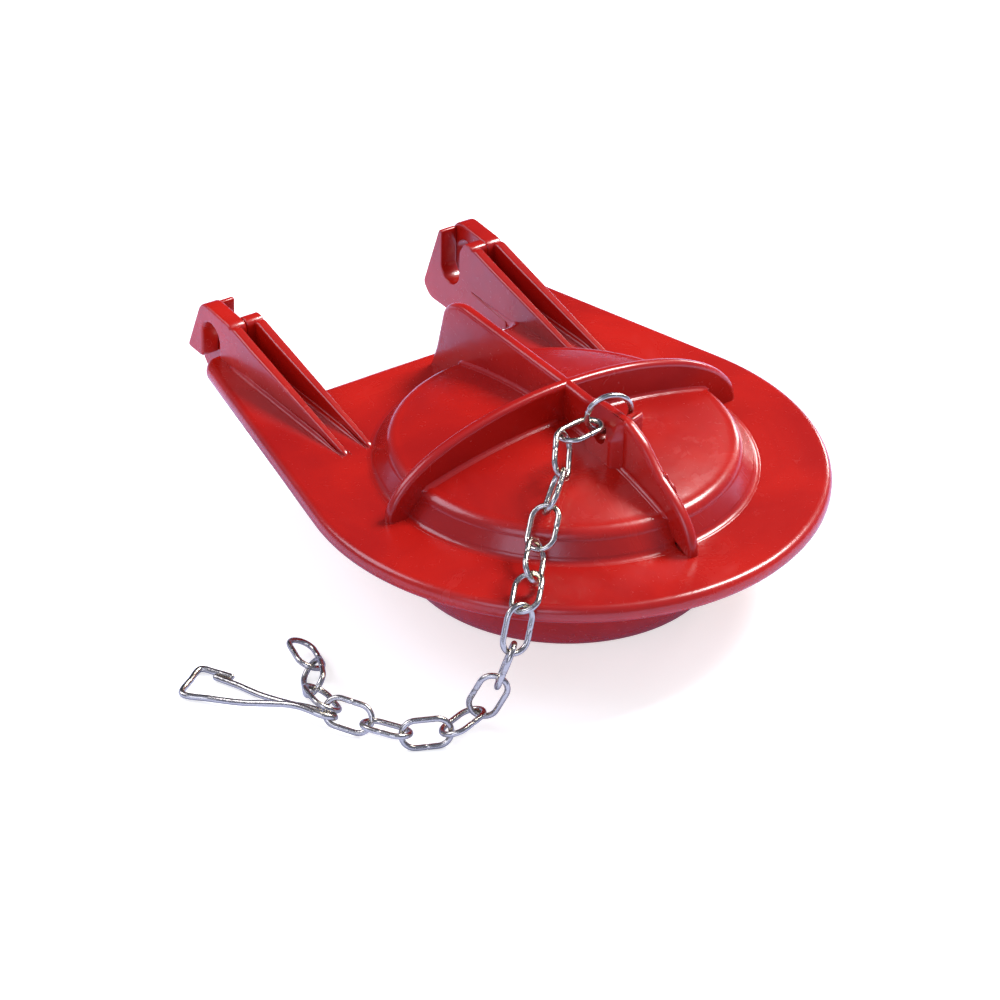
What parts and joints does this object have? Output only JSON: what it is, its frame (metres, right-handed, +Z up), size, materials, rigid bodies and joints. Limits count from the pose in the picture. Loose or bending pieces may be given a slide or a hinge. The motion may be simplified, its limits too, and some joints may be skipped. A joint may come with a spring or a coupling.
{
  "type": "toilet flapper",
  "caption": "Rubber toilet flapper with a round flange, ribbed hub, hollow bell and two hooked arms, with a lift chain and wire clip.",
  "frame": {"origin": "middle of the footprint of everything, on the plane that the bell's mouth and the chain rest on", "axes": "+Z up, +Y from the flange towards the two arms, +X to the right seen from the front"},
  "size_m": [0.1114, 0.1074, 0.0375],
  "materials": {
    "rubber": "smooth glossy red",
    "steel": "bright drawn wire"
  },
  "bodies": {
    "flapper": {"flapper_body": "rubber"},
    "ring": {"chain_ring": "steel"},
    "link_01": {"chain_link_01": "steel"},
    "link_02": {"chain_link_02": "steel"},
    "link_03": {"chain_link_03": "steel"},
    "link_04": {"chain_link_04": "steel"},
    "link_05": {"chain_link_05": "steel"},
    "link_06": {"chain_link_06": "steel"},
    "link_07": {"chain_link_07": "steel"},
    "link_08": {"chain_link_08": "steel"},
    "link_09": {"chain_link_09": "steel"},
    "link_10": {"chain_link_10": "steel"},
    "link_11": {"chain_link_11": "steel"},
    "link_12": {"chain_link_12": "steel"},
    "link_13": {"chain_link_13": "steel"},
    "link_14": {"chain_link_14": "steel"},
    "link_15": {"chain_link_15": "steel"},
    "link_16": {"chain_link_16": "steel"},
    "clip": {"chain_clip": "steel"}
  },
  "joints": [
    {"name": "ring_swing", "type": "hinge", "parent": "flapper", "child": "ring", "pos_m": [0.01387, -0.024, 0.0303], "axis": [-1, 0, 0], "range_deg": [0, 30]},
    {"name": "link_01_swing", "type": "hinge", "parent": "ring", "child": "link_01", "pos_m": [0.01006, -0.023, 0.03176], "axis": [-0.552, 0.0436, 0.8327], "range_deg": [0, 30]},
    {"name": "link_02_swing", "type": "hinge", "parent": "link_01", "child": "link_02", "pos_m": [0.00371, -0.02441, 0.03237], "axis": [-0.0728, 0.9946, -0.0741], "range_deg": [0, 30]},
    {"name": "link_03_swing", "type": "hinge", "parent": "link_02", "child": "link_03", "pos_m": [0.00025, -0.02897, 0.02922], "axis": [-0.6111, -0.0104, 0.7915], "range_deg": [0, 30]},
    {"name": "link_04_swing", "type": "hinge", "parent": "link_03", "child": "link_04", "pos_m": [-0.00439, -0.03219, 0.02636], "axis": [0.0315, 0.6306, -0.7754], "range_deg": [0, 30]},
    {"name": "link_05_swing", "type": "hinge", "parent": "link_04", "child": "link_05", "pos_m": [-0.00851, -0.0356, 0.02299], "axis": [-0.5315, 0.8273, -0.1818], "range_deg": [0, 30]},
    {"name": "link_06_swing", "type": "hinge", "parent": "link_05", "child": "link_06", "pos_m": [-0.0129, -0.04008, 0.02197], "axis": [-0.4675, 0.2292, 0.8538], "range_deg": [0, 30]},
    {"name": "link_07_swing", "type": "hinge", "parent": "link_06", "child": "link_07", "pos_m": [-0.01734, -0.04422, 0.02022], "axis": [-0.5822, 0.7499, -0.3141], "range_deg": [0, 30]},
    {"name": "link_08_swing", "type": "hinge", "parent": "link_07", "child": "link_08", "pos_m": [-0.01967, -0.04509, 0.01419], "axis": [0.9156, -0.1468, -0.3743], "range_deg": [0, 25]},
    {"name": "link_09_swing", "type": "hinge", "parent": "link_08", "child": "link_09", "pos_m": [-0.02073, -0.04333, 0.00815], "axis": [0.7042, 0.7088, 0.0415], "range_deg": [0, 30]},
    {"name": "link_10_swing", "type": "hinge", "parent": "link_09", "child": "link_10", "pos_m": [-0.02333, -0.04156, 0.00267], "axis": [0.648, -0.5923, -0.4788], "range_deg": [0, 30]},
    {"name": "link_11_swing", "type": "hinge", "parent": "link_10", "child": "link_11", "pos_m": [-0.02983, -0.04301, 0.00244], "axis": [-0.1421, 0.9286, -0.3427], "range_deg": [0, 30]},
    {"name": "link_12_swing", "type": "hinge", "parent": "link_11", "child": "link_12", "pos_m": [-0.03537, -0.0397, 0.00261], "axis": [0.1336, 0.221, 0.9661], "range_deg": [0, 30]},
    {"name": "link_13_swing", "type": "hinge", "parent": "link_12", "child": "link_13", "pos_m": [-0.03797, -0.03383, 0.00238], "axis": [0.8522, 0.4186, -0.314], "range_deg": [0, 30]},
    {"name": "link_14_swing", "type": "hinge", "parent": "link_13", "child": "link_14", "pos_m": [-0.04132, -0.02856, 0.00337], "axis": [0.4669, 0.1452, 0.8723], "range_deg": [0, 30]},
    {"name": "link_15_swing", "type": "hinge", "parent": "link_14", "child": "link_15", "pos_m": [-0.03948, -0.02239, 0.00247], "axis": [0.8285, -0.2552, -0.4985], "range_deg": [0, 30]},
    {"name": "link_16_swing", "type": "hinge", "parent": "link_15", "child": "link_16", "pos_m": [-0.03621, -0.01697, 0.00226], "axis": [0.5413, -0.2708, 0.796], "range_deg": [0, 30]},
    {"name": "clip_swing", "type": "hinge", "parent": "link_13", "child": "clip", "pos_m": [-0.04132, -0.02856, 0.00337], "axis": [0.4669, 0.1452, 0.8723], "range_deg": [0, 30]}
  ]
}
